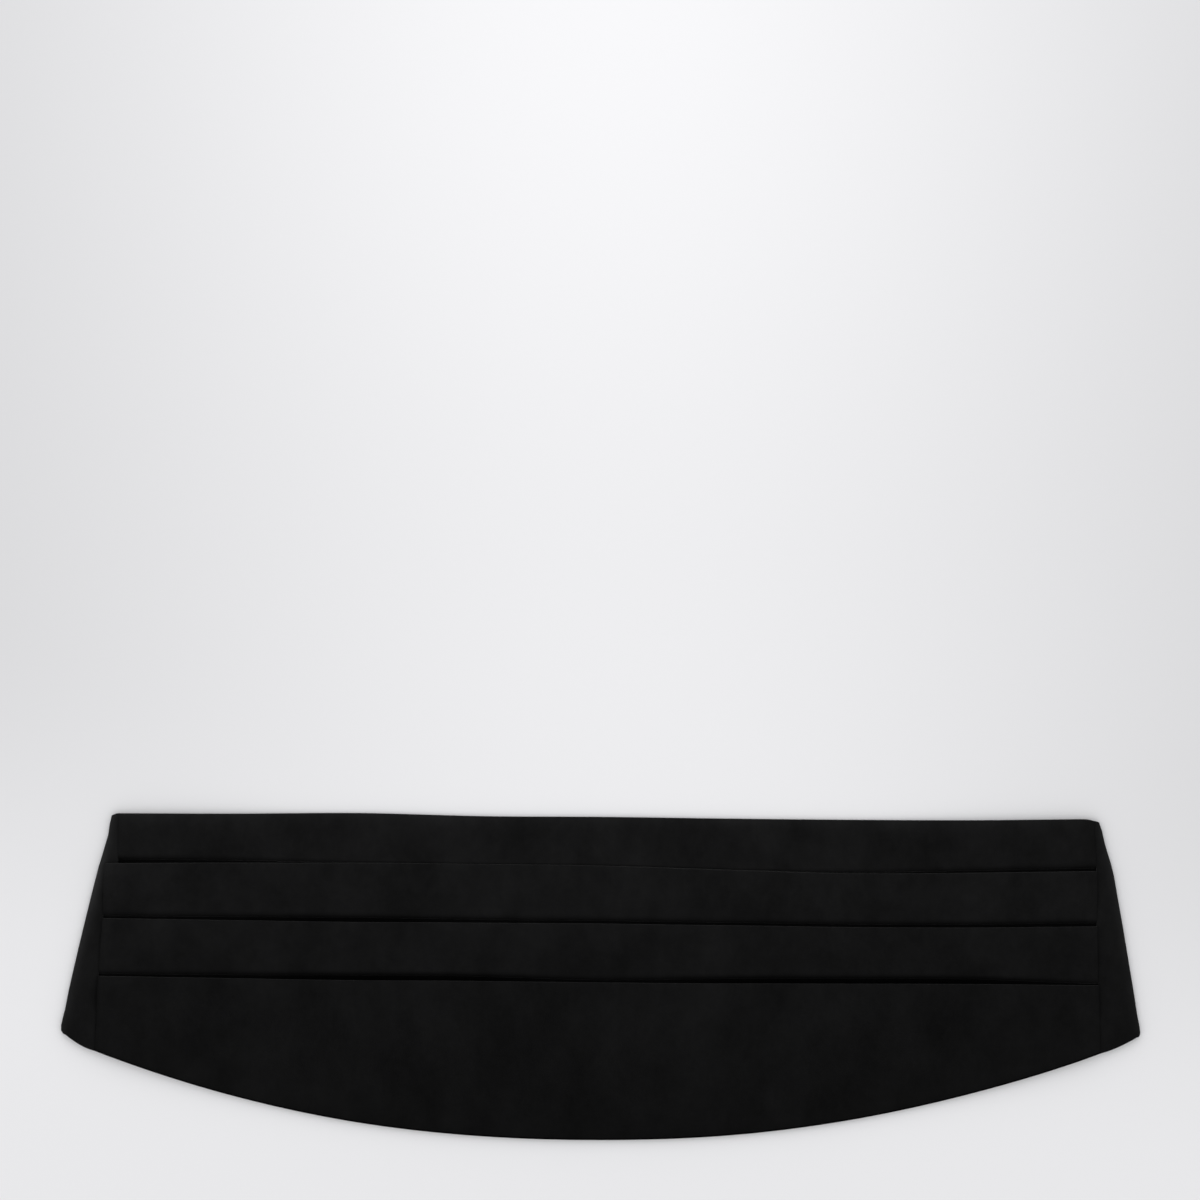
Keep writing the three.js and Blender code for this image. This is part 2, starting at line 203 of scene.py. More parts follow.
class SideSettings(bpy.types.PropertyGroup):
    wall: metres("Wall", "Thickness of the side panels", 0.0012)
    seam_gap: metres("Seam gap", "Between pieces that are sewn edge to edge, where they gape most", 0.00015)
    seam_dip: metres("Seam dip", "How far the cloth is drawn down at a seam, at the most", 0.0005)
    seam_width: metres("Seam width", "Over which the cloth comes up again from a seam", 0.004)
    # Painted shade beside the seams.
    seam_dark: fraction("Seam dark", "Share of its colour that the cloth loses beside a seam", 0.25)
    seam_press: fraction("Seam press", "How much thinner the pleats are pressed in a seam", 0.23)
    left_bulge: metres("Left bulge", "How far the left panel's hem curves out between its corners", 0.0012)
    right_bulge: metres(
        "Right bulge", "How far the right panel's hem curves out between its corners", 0.0008)
    fold_slope: metres("Fold slope", "How far the panel comes down before it turns under", 0.0004)
    # Painted highlights along the panels' folds.
    left_painted_highlight: factor("Left rub", "How much paler the cloth has worn along the left fold", 1.9)
    right_painted_highlight: factor("Right rub", "How much paler it has worn along the right fold", 1)
    highlight_reach: metres("Rub reach", "How far in from a fold the cloth has worn", 0.0045)
    # It sets how the painted light on the panels changes downwards.
    even_share: fraction("Even share", "How much less the panels darken downwards than the front", 0.35)
    left_drop: metres("Left drop", "From the top of the outline down to the lower left corner", 0.091)
    right_drop: metres("Right drop", "From the top of the outline down to the lower right corner", 0.0927)
    corner_fall: metres("Corner fall", "How far the upper corners are rounded down", 0.0018)
    taper_share: fraction(
        "Taper share", "Share of the way in at which a panel's edges have turned level", 0.78)
    rows: count("Rows", "Cells up a side panel", 96)


class DrapeSettings(bpy.types.PropertyGroup):
    margin: metres("Margin", "The front stays level this far past what carries it", 0.008)
    length: metres("Length", "Over which it then comes down to the surface", 0.03)
    clasp_length: metres("Clasp length", "Over which it comes down from the clasp to the straps", 0.06)


class StrapSettings(bpy.types.PropertyGroup):
    wall: metres("Wall", "Thickness of the back straps", 0.001)
    tail: metres("Tail", "End of the strap that is turned back past the bar", 0.024)
    tail_fall: metres("Tail fall", "Over which that end comes down onto the strap", 0.01)


class ClaspSettings(bpy.types.PropertyGroup):
    colour: tint("Colour", "Plain satin nickel", (0.3, 0.3, 0.31))
    bar: metres("Bar", "Width of each bar and of the rim", 0.0035)
    slot: metres("Slot", "Width of the slot between two bars", 0.0045)
    corner: metres("Corner", "Radius of the outer corners", 0.003)
    slot_corner: metres("Slot corner", "Radius of the slots' corners", 0.0012)
    edge: metres("Edge", "Rounding along the edges of the plate", 0.00035)


class StageSettings(bpy.types.PropertyGroup):
    floor_colour: tint("Floor", "The pale surface under the cummerbund", (0.772, 0.772, 0.787))
    # edge_tone, pool_tone, pool_reach and tilt set the floor's painted pool of light and painted darker
    # sides.
    edge_tone: factor("Edge tone", "Tone of the floor at the view's sides, as a share of that below", 0.815)
    pool_tone: factor("Pool tone", "Tone of the floor in the pool of light", 1.031)
    pool_reach: factor("Pool reach", "How far the pool spreads, as a share of the view", 0.729)
    tilt: factor("Tilt", "How much lower the darker floor reaches at the right", 0.144)
    sky: factor("Sky", "Strength of the even light from all round", 0.98)
    key: factor("Key", "Power of the wide soft light above the top edge", 2, unit="POWER")
    lens: factor("Lens", "Focal length in millimetres", 150)


def clamped(share):
    return min(max(share, 0.0), 1.0)


def smooth_rise(value, low, high):
    """0 below low, 1 above high, and an even curve between them."""
    share = clamped((value - low) / (high - low))
    return share * share * (3 - 2 * share)


def mix(start, end, share):
    return start + (end - start) * share


def along(values, share):
    """A smooth line through values that stand at even steps, read at a share of its length."""
    last = len(values) - 1
    place = clamped(share) * last
    step = min(int(place), last - 1)
    t = place - step
    before, start, end, after = (values[min(max(step + i, 0), last)] for i in (-1, 0, 1, 2))
    pull, push = (end - before) / 2, (after - start) / 2
    return start + t * (pull + t * (3 * (end - start) - 2 * pull - push
                                    + t * (2 * (start - end) + pull + push)))


def side_value(table, column, level):
    """A column of a side's table, read at a level between its rows."""
    levels, values = table["level"], table[column]
    row = next((i for i in range(1, len(levels) - 1) if levels[i] > level), len(levels) - 1)
    share = (level - levels[row - 1]) / (levels[row] - levels[row - 1])
    return mix(values[row - 1], values[row], clamped(share))


def side_setting(side, label):
    """A setting that each side panel has for itself."""
    return getattr(bpy.context.scene.cummerbund_side, f"{SIDE_NAMES[side]}_{label}")


def line_height(line, share):
    return HIGH.y - along(line, share) * HEIGHT


def hem_height(share):
    front = bpy.context.scene.cummerbund_front
    plain = LOW.y + front.hem_rise * abs(2 * share - 1) ** front.hem_power
    return plain - along(HEM_SHIFT, share) * HEIGHT


def top_height(share):
    fall = bpy.context.scene.cummerbund_front.end_fall
    return line_height(TOP_EDGE, share) - fall * falloff_share((1 - share) * WIDTH, FALL_REACH)


def fold_point(side, level):
    """Where a side panel's fold is in the plan."""
    corner = HIGH.y - side_setting(side, "drop")
    across = side_value(FOLDS[side], "across", level)
    return Vector((side * across * WIDTH / 2, mix(corner, top_height(SEAM_SHARES[side]), level)))


def seam_point(side, level):
    """Where the seam between the front and a side panel is in the plan."""
    share = SEAM_SHARES[side]
    height = mix(hem_height(share), top_height(share), level)
    return Vector((side * side_value(SEAMS[side], "across", level) * WIDTH / 2, height))


def seam_half_gap(side, level):
    """Half of what a seam gapes at a level."""
    widest = bpy.context.scene.cummerbund_side.seam_gap
    return mix(SHUT_GAP, widest, side_value(SEAMS[side], "open", level)) / 2


def seam_depth(side, level):
    """How far the cloth is drawn down at a seam, at a level."""
    return bpy.context.scene.cummerbund_side.seam_dip * side_value(SEAMS[side], "open", level)


def seam_shade(side, level, distance):
    """Share of its colour that the cloth loses to painted shade at a distance from a seam."""
    most = bpy.context.scene.cummerbund_side.seam_dark
    return most * side_value(SEAMS[side], "open", level) * falloff_share(distance, SHADE_REACH)


def end_tone(side, level, distance):
    """How much paler or darker the front is painted at a distance from a seam, as highlight and shade, 1
    being usual.
    """
    reach = bpy.context.scene.cummerbund_front.end_reach
    return mix(1, side_value(SEAMS[side], "tone", level), falloff_share(distance, reach))


def seam_level(side, y):
    """The level at which a seam has a height y in the plan."""
    hem, top = hem_height(SEAM_SHARES[side]), top_height(SEAM_SHARES[side])
    return clamped((y - hem) / (top - hem))


def end_level(side, y, top_band):
    """The same for the front's end, where the top band's left end is tucked in as one."""
    level = seam_level(side, y)
    if side > 0:
        return level
    return max(level, TUCKED_STEP[1]) if top_band else min(level, TUCKED_STEP[0])


def front_end(side, y, top_band):
    """Where the front ends at a seam, at a height y in the plan."""
    level = end_level(side, y, top_band)
    return seam_point(side, level).x - side * seam_half_gap(side, level)


def drape_height(x, y):
    """Height of the front's underside. It lies on the side panels, the straps and the clasp."""
    scene = bpy.context.scene
    drape, gap = scene.cummerbund_drape, scene.cummerbund_front.layer_gap
    side = -1 if x < 0 else 1
    inner = abs(STRAP[0].x)

    def panel_edge(strap_y, corner):
        share = clamped((abs(x) - inner) / (abs(corner.x) - inner))
        return mix(strap_y, corner.y, share)

    upper = panel_edge(STRAP[1].y, fold_point(side, 1))
    lower = panel_edge(STRAP[0].y, fold_point(side, 0))
    past = max(y - upper, lower - y) - drape.margin
    from_clasp = abs(x) - CLASP[1].x - drape.margin
    over_panel = max(scene.cummerbund_side.wall, scene.cummerbund_strap.wall) + gap
    over_clasp = STRAP[1].z + gap
    carried = mix(over_clasp, over_panel, smooth_rise(from_clasp, 0, drape.clasp_length))
    return carried * (1 - smooth_rise(past, 0, drape.length))


def falloff_share(distance, reach):
    """1 at a line, falling to 0 at a distance from it."""
    return max(0.0, 1 - abs(distance) / reach) ** 2


def painted_light_tone(x, y):
    """The cloth's painted light at a place, paler towards the top edge and a little to the left, as the
    light falls.
    """
    cloth = bpy.context.scene.cummerbund_cloth
    down = smooth_rise(HIGH.y - y, TONE_RANGE[0] * HEIGHT, TONE_RANGE[1] * HEIGHT)
    return (1 + cloth.top_tone * (1 - down)) * (1 - cloth.left_tone * x / (WIDTH / 2))


def ripple_height(x, y):
    """A soft wave in the cloth, never below zero. It is the same for every layer at one place."""
    cloth = bpy.context.scene.cummerbund_cloth
    length = cloth.ripple_length
    wave = noise.noise(Vector((x, y * WAVE_SLANT, 0)) / length)
    small = noise.noise(Vector((x, y * WAVE_SLANT, length)) / length * SMALL_WAVES)
    return cloth.ripple * (WAVE_SHARES[0] + WAVE_SHARES[1] * wave + WAVE_SHARES[2] * small)


# Stretches of a folded cloth's section, each a list of points. The first number of a point is its
# place along the section's level direction and the second is its height.
def flat_stretch(start, end, height, cells):
    return [Vector((mix(start, end, i / cells), height)) for i in range(cells + 1)]


def slope_stretch(start, start_height, end, end_height, cells, shares=(0.5, 0.5)):
    """A slope that starts and ends level. The shares say how far along its two handles reach."""
    points = (
        Vector((start, start_height)),
        Vector((mix(start, end, shares[0]), start_height)),
        Vector((mix(start, end, shares[1]), end_height)),
        Vector((end, end_height)),
    )
    return geometry.interpolate_bezier(*points, cells + 1)


def fold_stretch(centre, height, radius, start_angle, end_angle, cells, squeeze=1.0):
    """An arc round a fold. squeeze is its level radius as a share of the upright one."""
    angles = [math.radians(mix(start_angle, end_angle, i / cells)) for i in range(cells + 1)]
    return [Vector((centre + radius * squeeze * math.cos(a), height + radius * math.sin(a)))
            for a in angles]


def roll_stretch(start, start_height, end, end_height, cells):
    """Steeply up from the start, then over into a level end."""
    points = (
        Vector((start, start_height)),
        Vector((start, mix(start_height, end_height, 0.8))),
        Vector((mix(start, end, 0.35), end_height)),
        Vector((end, end_height)),
    )
    return geometry.interpolate_bezier(*points, cells + 1)


def distances(points):
    """How far along the cloth each point lies."""
    lengths = [0.0]
    for start, end in zip(points, points[1:]):
        lengths.append(lengths[-1] + (end - start).length)
    return lengths


def join_stretches(stretches):
    """The points of all stretches in a row, and how far along the cloth they lie."""
    points = list(stretches[0])
    for stretch in stretches[1:]:
        points.extend(stretch[1:])
    return points, distances(points)


def new_piece(name, bm):
    """An object of its own from a bmesh, which is freed."""
    mesh = bpy.data.meshes.new(name)
    bm.to_mesh(mesh)
    bm.free()
    piece = bpy.data.objects.new(name, mesh)
    bpy.context.scene.collection.objects.link(piece)
    return piece


def grid_place(point, columns, rows):
    """The column and row of a point of a grid that was made 1 wide and 1 high."""
    return round((point.x + 0.5) * columns), round((point.y + 0.5) * rows)


def cloth_sheet(name, columns, rows, place):
    """One sheet of cloth from a grid. place gives a grid point's position and its place on the flat
    cloth, both in metres, and its tone of painted light and shade. The flat cloth is kept as the sheet's UV
    map."""
    bm = bmesh.new()
    bmesh.ops.create_grid(bm, x_segments=columns, y_segments=rows, size=0.5)
    pattern = bm.loops.layers.uv.new("flat_cloth")
    # A tone per point of painted light and shade: painted highlights along edges and folds, painted shade
    # in pleats, beside seams and at the hem.
    painted_shading = bm.verts.layers.float.new("painted_shading")
    spots = {}
    for vert in bm.verts:
        vert.co, spots[vert], vert[painted_shading] = place(*grid_place(vert.co, columns, rows))
    for face in bm.faces:
        face.smooth = True
        for loop in face.loops:
            loop[pattern].uv = spots[loop.vert]
    area = sum(face.calc_area() for face in bm.faces)
    return new_piece(name, bm), area


def round_edges(piece, width, least_turn):
    """Rounds the edges at which a piece turns by more than an angle in degrees."""
    bevel = piece.modifiers.new("edges", "BEVEL")
    bevel.width = width
    bevel.segments = 3
    bevel.limit_method = "ANGLE"
    bevel.angle_limit = math.radians(least_turn)
    return bevel


def give_wall(sheet, wall, edge=CUT_EDGE):
    """Gives a sheet its thickness, half to each side, and rounds its cut edges."""
    solidify = sheet.modifiers.new("wall", "SOLIDIFY")
    solidify.thickness = wall
    solidify.offset = 0
    round_edges(sheet, edge, 55)


def stand_for(piece, node, material):
    """The piece takes a solid's place in the frame and its finish."""
    piece.data.materials.append(material)
    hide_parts(node)
    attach(piece, "root")


def seam_spread(width, cells):
    """Shares from 0 to 1 across a sheet of this width, with close steps at both seams."""
    near = [step / width for step in SEAM_STEPS]
    middle = [mix(near[-1], 1 - near[-1], i / cells) for i in range(1, cells)]
    return near + middle + [1 - share for share in reversed(near)]


# Materials
def new_group(name, inputs, outputs):
    """A shader node group, from the names and kinds of its inputs and outputs."""
    group = bpy.data.node_groups.new(name, "ShaderNodeTree")
    for in_out, sockets in (("INPUT", inputs), ("OUTPUT", outputs)):
        for label, kind in sockets.items():
            group.interface.new_socket(label, in_out=in_out, socket_type=f"NodeSocket{kind}")
    return group, group.nodes.new("NodeGroupInput").outputs, group.nodes.new("NodeGroupOutput")


def new_material(name):
    """A material, its node tree and its Principled shader."""
    material = bpy.data.materials.new(name)
    material.use_nodes = True
    return material, material.node_tree, material.node_tree.nodes["Principled BSDF"]


def fill_inputs(tree, node, values):
    """Sets inputs by name or number, each to a plain value or from another node's output."""
    for label, value in values.items():
        if isinstance(value, bpy.types.NodeSocket):
            tree.links.new(value, node.inputs[label])
        else:
            node.inputs[label].default_value = value


def new_node(tree, kind, values):
    node = tree.nodes.new(f"ShaderNode{kind}")
    fill_inputs(tree, node, values)
    return node


def place_group(tree, group, values):
    node = tree.nodes.new("ShaderNodeGroup")
    node.node_tree = group
    fill_inputs(tree, node, values)
    return node.outputs


def math_node(tree, operation, *values):
    node = tree.nodes.new("ShaderNodeMath")
    node.operation = operation
    fill_inputs(tree, node, dict(enumerate(values)))
    return node.outputs[0]


def tinted(tree, colour, tone):
    """A colour that a tone makes lighter or darker."""
    node = tree.nodes.new("ShaderNodeVectorMath")
    node.operation = "SCALE"
    fill_inputs(tree, node, {0: colour, "Scale": tone})
    return node.outputs[0]


def noise_node(tree, vector, scale, detail, roughness=0.5):
    values = {"Vector": vector, "Scale": scale, "Detail": detail, "Roughness": roughness}
    return new_node(tree, "TexNoise", values).outputs["Fac"]


def range_node(tree, value, new_low, new_high, low=0.0, high=1.0, kind="LINEAR"):
    """The range from low to high laid on a new one. low may be the larger end."""
    node = new_node(tree, "MapRange", dict(enumerate((value, low, high, new_low, new_high))))
    node.interpolation_type = kind
    return node.outputs[0]


def split_node(tree, vector):
    return new_node(tree, "SeparateXYZ", {0: vector}).outputs


def mapping_node(tree, vector, scale, location=(0.0, 0.0, 0.0)):
    values = {"Vector": vector, "Location": location, "Scale": scale}
    return new_node(tree, "Mapping", values).outputs[0]


def mix_node(tree, share, first, second):
    """A mix of two numbers."""
    return new_node(tree, "Mix", {"Factor": share, "A": first, "B": second}).outputs["Result"]


def bump_node(tree, height, distance):
    return new_node(tree, "Bump", {"Distance": distance, "Height": height}).outputs["Normal"]


def object_place(tree):
    return tree.nodes.new("ShaderNodeTexCoord").outputs["Object"]


def flat_map(tree):
    node = tree.nodes.new("ShaderNodeUVMap")
    node.uv_map = "flat_cloth"
    return node.outputs["UV"]


# The tone of painted light and shade that the sheets' points carry.
def painted_shading_node(tree):
    node = tree.nodes.new("ShaderNodeAttribute")
    node.attribute_name = "painted_shading"
    return node.outputs["Fac"]


def round_threads(tree, place, turn):
    """Height of round threads side by side. Over each of them place grows by pi / turn."""
    wave = math_node(tree, "SINE", math_node(tree, "MULTIPLY", place, turn))
    return math_node(tree, "ABSOLUTE", wave)


def twill_group():
    """Threads of a two-and-one twill, from a flat map in metres. Height is 0 to 1."""
    group, given, out = new_group(
        "twill_threads", {"Flat": "Vector", "Thread": "Float"}, {"Height": "Float"})
    flat = split_node(group, given["Flat"])
    across = math_node(group, "DIVIDE", flat["X"], given["Thread"])
    up = math_node(group, "DIVIDE", flat["Y"], given["Thread"])
    warp, weft = round_threads(group, across, math.pi), round_threads(group, up, math.pi)
    cell = math_node(group, "ADD", math_node(group, "FLOOR", across), math_node(group, "FLOOR", up))
    # The warp lies on top at two of every three crossings.
    step = math_node(group, "FLOORED_MODULO", cell, 3.0)
    over = math_node(group, "LESS_THAN", step, 1.5)
    warp_height = math_node(group, "MULTIPLY", warp, range_node(group, weft, 0.75, 1.0))
    weft_height = math_node(group, "MULTIPLY", weft, range_node(group, warp, 0.45, 0.75))
    fill_inputs(group, out, {"Height": mix_node(group, over, weft_height, warp_height)})
    return group


def wear_group():
    """Slow unevenness of a dyed cloth, and the fine fuzz of its fibres, from object coordinates."""
    group, given, out = new_group(
        "cloth_unevenness", {"Place": "Vector", "Amount": "Float"}, {"Tone": "Float", "Fuzz": "Float"})
    nap = mapping_node(group, given["Place"], scale=(1.2, 0.85, 1.0))
    slow = noise_node(group, nap, scale=28.0, detail=7.0, roughness=0.75)
    low = math_node(group, "SUBTRACT", 1.0, given["Amount"])
    high = math_node(group, "ADD", 1.0, given["Amount"])
    fill_inputs(group, out, {
        "Tone": range_node(group, slow, low, high, 0.3, 0.7),
        "Fuzz": noise_node(group, given["Place"], scale=900.0, detail=2.0),
    })
    return group


def uneven_cloth(tree, amount):
    group = bpy.data.node_groups.get("cloth_unevenness") or wear_group()
    return place_group(tree, group, {"Place": object_place(tree), "Amount": amount})


def wool_material():
    """Matt black twill of the front and the side panels."""
    found = bpy.data.materials.get("black_twill")
    if found:
        return found
    cloth = bpy.context.scene.cummerbund_cloth
    material, tree, shader = new_material("black_twill")
    threads = place_group(tree, twill_group(), {"Flat": flat_map(tree), "Thread": cloth.thread})
    uneven = uneven_cloth(tree, 0.5)
    # The painted light and shade scale the cloth's colour.
    painted_tone = painted_shading_node(tree)
    # The painted shade also dims the sheen and the gloss, as where light does not reach.
    kept = math_node(tree, "MINIMUM", painted_tone, 1.0)
    # Painted shade in the hollows between the threads, and lighter thread tops.
    tone = math_node(tree, "MULTIPLY", range_node(tree, threads["Height"], 0.7, 1.15), uneven["Tone"])
    fuzz = math_node(tree, "MULTIPLY", uneven["Fuzz"], 0.5)
    height = math_node(tree, "ADD", threads["Height"], fuzz)
    fill_inputs(tree, shader, {
        "Base Color": tinted(tree, cloth.colour, math_node(tree, "MULTIPLY", tone, painted_tone)),
        "Roughness": 0.85,
        "Specular IOR Level": math_node(tree, "MULTIPLY", kept, cloth.gloss),
        "Sheen Weight": math_node(tree, "MULTIPLY", kept, cloth.sheen),
        "Sheen Roughness": 0.35,
        "Normal": bump_node(tree, height, cloth.relief),
    })
    return material


def ribbon_material():
    """Ribbed black ribbon of the back straps."""
    cloth = bpy.context.scene.cummerbund_cloth
    material, tree, shader = new_material("black_ribbon")
    rib = round_threads(tree, split_node(tree, flat_map(tree))["X"], math.pi / cloth.rib)
    uneven = uneven_cloth(tree, 0.08)
    # Painted shade in the hollows between the ribs, and lighter rib tops.
    tone = math_node(tree, "MULTIPLY", range_node(tree, rib, 0.6, 1.1), uneven["Tone"])
    height = math_node(tree, "ADD", rib, math_node(tree, "MULTIPLY", uneven["Fuzz"], 0.3))
    fill_inputs(tree, shader, {
        "Base Color": tinted(tree, cloth.colour, tone), "Roughness": 0.6, "Specular IOR Level": 0.2,
        "Sheen Weight": 0.05, "Sheen Roughness": 0.4, "Normal": bump_node(tree, height, cloth.rib / 6),
    })
    return material


def nickel_material():
    """Satin nickel with fine brushing along the clasp's bars."""
    clasp = bpy.context.scene.cummerbund_clasp
    material, tree, shader = new_material("satin_nickel")
    streaks = mapping_node(tree, object_place(tree), scale=(30.0, 1.0, 30.0))
    brushing = noise_node(tree, streaks, scale=400.0, detail=4.0)
    smudge = noise_node(tree, object_place(tree), scale=120.0, detail=3.0)
    fill_inputs(tree, shader, {
        "Base Color": tinted(tree, clasp.colour, range_node(tree, smudge, 0.92, 1.05, 0.3, 0.7)),
        "Metallic": 1.0,
        "Roughness": range_node(tree, brushing, 0.28, 0.42, 0.2, 0.8),
        "Normal": bump_node(tree, brushing, 0.00001),
    })
    return material


# The front
SHUT_SQUEEZE = 0.45  # level radius of a pleat's edge where it is shut, as a share of the upright one
SHUT_OVERLAP = 0.0003  # how far the band behind stands out past the edge there
SHUT_ROLL = 0.0008  # over which it rolls down there
SHUT_LEVEL = 1.8  # layers up at which it lies there
TOP_SQUEEZE = 0.55  # thickness of the top edge's fold, as a share of a pleat's
TOP_REACH = 0.007  # from the top edge, over which the cloth is painted paler as a highlight
PLEAT_REACH = 0.003  # from a pleat's edge, over which the cloth is painted paler as a highlight
HEM_RIM = (0.0006, 0.0013)  # distances from the hem between which its painted shade, a dark rim, ends
DEEP_SHARE = 0.8  # share of a mouth's width over which painted shade turns the cloth dark
DARKEST = 0.02  # least tone
LIFT_REACH = 0.015  # from the hem, over which the cloth comes down to what it lies on


def front_section(share):
    """The front's section at a share of its width, from the cloth turned under at the hem to the cloth
    turned under at the top: its points, their distances along the cloth, their tone of painted light and
    shade, and the number of the first one that belongs to the top band."""
    front = bpy.context.scene.cummerbund_front
    pitch = front.wall + front.layer_gap
    bend = pitch / 2
    reach = bend + front.wall / 2

    def layer(number):
        return front.wall / 2 + number * pitch

    hem, top = hem_height(share), top_height(share)
    edges = [line_height(line, share) for line in PLEAT_LINES]
    mouths = [along(line, share) for line in PLEAT_MOUTHS]
    landing = mix(hem + reach, edges[-1] - front.pleat_depth, front.flat_share)
    landed = layer(1)
    landings = []
    stretches = [
        flat_stretch(hem + front.hem_turn, hem + reach, layer(0), cells=4),
        fold_stretch(hem + reach, layer(0.5), bend, -90, -270, cells=8),
        flat_stretch(hem + reach, landing, layer(1), cells=10),
    ]
    for edge, mouth in zip(reversed(edges), reversed(mouths)):
        opened = min(mouth, 1.0)
        squeeze = mix(SHUT_SQUEEZE, 1.0, opened)
        turn = edge - front.wall / 2 - bend * squeeze
        inner = edge - front.pleat_depth
        lift = inner - reach - front.layer_gap
        start = edge + front.wall / 2 + mix(-SHUT_OVERLAP, front.mouth_gap, mouth)
        end = start + mix(SHUT_ROLL, front.mouth_roll, opened)
        risen = mix(layer(SHUT_LEVEL), layer(1), opened)
        stretches += [
            slope_stretch(landing, landed, lift, layer(2), cells=8),
            flat_stretch(lift, turn, layer(2), cells=3),
            fold_stretch(turn, layer(1.5), bend, 90, 0, cells=4, squeeze=squeeze),
            fold_stretch(turn, layer(1.5), bend, 0, -90, cells=4, squeeze=squeeze),
            flat_stretch(turn, inner, layer(1), cells=2),
            fold_stretch(inner, layer(0.5), bend, 90, 270, cells=6),
            flat_stretch(inner, start, layer(0), cells=2),
            roll_stretch(start, layer(0), end, risen, cells=8),
        ]
        landing, landed = end, risen
        landings.append(end)
    top_band = sum(len(stretch) - 1 for stretch in stretches[:-5]) + 1
    edge_bend = bend * TOP_SQUEEZE
    turn = top - front.wall / 2 - edge_bend
    rolled = turn - front.edge_roll
    stretches += [
        slope_stretch(landing, landed, rolled, layer(1), cells=6),
        slope_stretch(rolled, layer(1), turn, layer(0) + 2 * edge_bend, cells=6, shares=(0.6, 0.95)),
        fold_stretch(turn, layer(0) + edge_bend, edge_bend, 90, -90, cells=8),
        flat_stretch(turn, top - front.top_turn, layer(0), cells=3),
    ]
    points, lengths = join_stretches(stretches)
    painted_shading = []
    for y, height in points:
        # Painted highlight along the top edge, where light catches its fold.
        painted_tone = 1 + front.edge_painted_highlight * falloff_share(top - y, TOP_REACH)
        # Painted shade along the hem's rim, which turns away from the light.
        painted_tone -= front.hem_dark * (1 - smooth_rise(y - hem, *HEM_RIM))
        for edge, mouth, rolled_up in zip(edges, mouths, reversed(landings)):
            if y <= edge and height > layer(1.5):
                # Painted highlight on the lit crest of a pleat's edge.
                painted_tone += front.pleat_painted_highlight * falloff_share(edge - y, PLEAT_REACH)
            elif edge - front.pleat_depth < y < rolled_up:
                # Painted shade deep in the pleat's mouth, the more the wider it stands open.
                depth = smooth_rise(rolled_up - y, 0, DEEP_SHARE * (rolled_up - edge))
                painted_tone -= front.mouth_dark * mouth * depth
        painted_shading.append(max(painted_tone, DARKEST))
    return points, lengths, painted_shading, top_band


class OBJECT_OT_cummerbund_front(bpy.types.Operator):
    """Folds the pleated front from one sheet of cloth"""

    bl_idname = "object.cummerbund_front"
    bl_label = "Pleated front"

    def execute(self, context):
        front, side = context.scene.cummerbund_front, context.scene.cummerbund_side
        spread = seam_spread(FRONT[1].x - FRONT[0].x, front.columns)
        sections = [front_section(share) for share in spread]
        points = len(sections[0][0])

        def place(column, row):
            section, lengths, painted_shading, first_row = sections[column]
            y, height = section[row]
            top_band = row >= first_row
            left, right = front_end(-1, y, top_band), front_end(1, y, top_band)
            x = mix(left, right, spread[column])
            near = -1 if x - left < right - x else 1
            from_seam = min(x - left, right - x)
            drawn = 1 - smooth_rise(from_seam, 0, side.seam_width)
            height *= 1 - side.seam_press * drawn
            z = height + drape_height(x, y) + ripple_height(x, y) * (1 - drawn)
            level = seam_level(near, y)
            z -= seam_depth(near, level) * drawn
            z += front.hem_lift * (1 - smooth_rise(y - hem_height(spread[column]), 0, LIFT_REACH))
            # Painted shade beside the seams.
            painted_tone = painted_shading[row] - seam_shade(near, level, from_seam)
            # Painted light, paler towards the top and the left, and painted highlight and shade beside the
            # seams.
            painted_tone *= painted_light_tone(x, y) * end_tone(near, end_level(near, y, top_band), from_seam)
            return Vector((x, y, z)), (x, lengths[row]), painted_tone

        sheet, area = cloth_sheet("pleated_front_cloth", len(spread) - 1, points - 1, place)
        give_wall(sheet, front.wall)
        stand_for(sheet, "pleated_front", wool_material())
        return {"FINISHED"}


# The side panels
FACE_CELLS, FOLD_CELLS, UNDER_CELLS = 12, 10, 24  # from the seam to the fold, round it and under
FOLD_ANGLES = (80, -90)  # at which the fold starts and ends; 0 is outermost
FOLD_COLUMN = FACE_CELLS + 6  # the grid's column that is outermost on the fold
CROWD_WIDTHS = (0.002, 0.01)  # widths of a panel's face between which its points crowd at the seam
CROWD_SHARE = 0.35  # how far apart they then are at the seam, as a share of even steps
BULGE_LEVEL = 0.12  # level up to which a panel's hem makes it curve
FALL_LEVEL = 0.9  # level from which its top edge is rounded down
FALL_POWER = 2.5  # how late on its way out it comes down
SLOPE_SPAN = (0.004, 0.0008)  # from where to where it comes down, inside and outside of the fold's centre


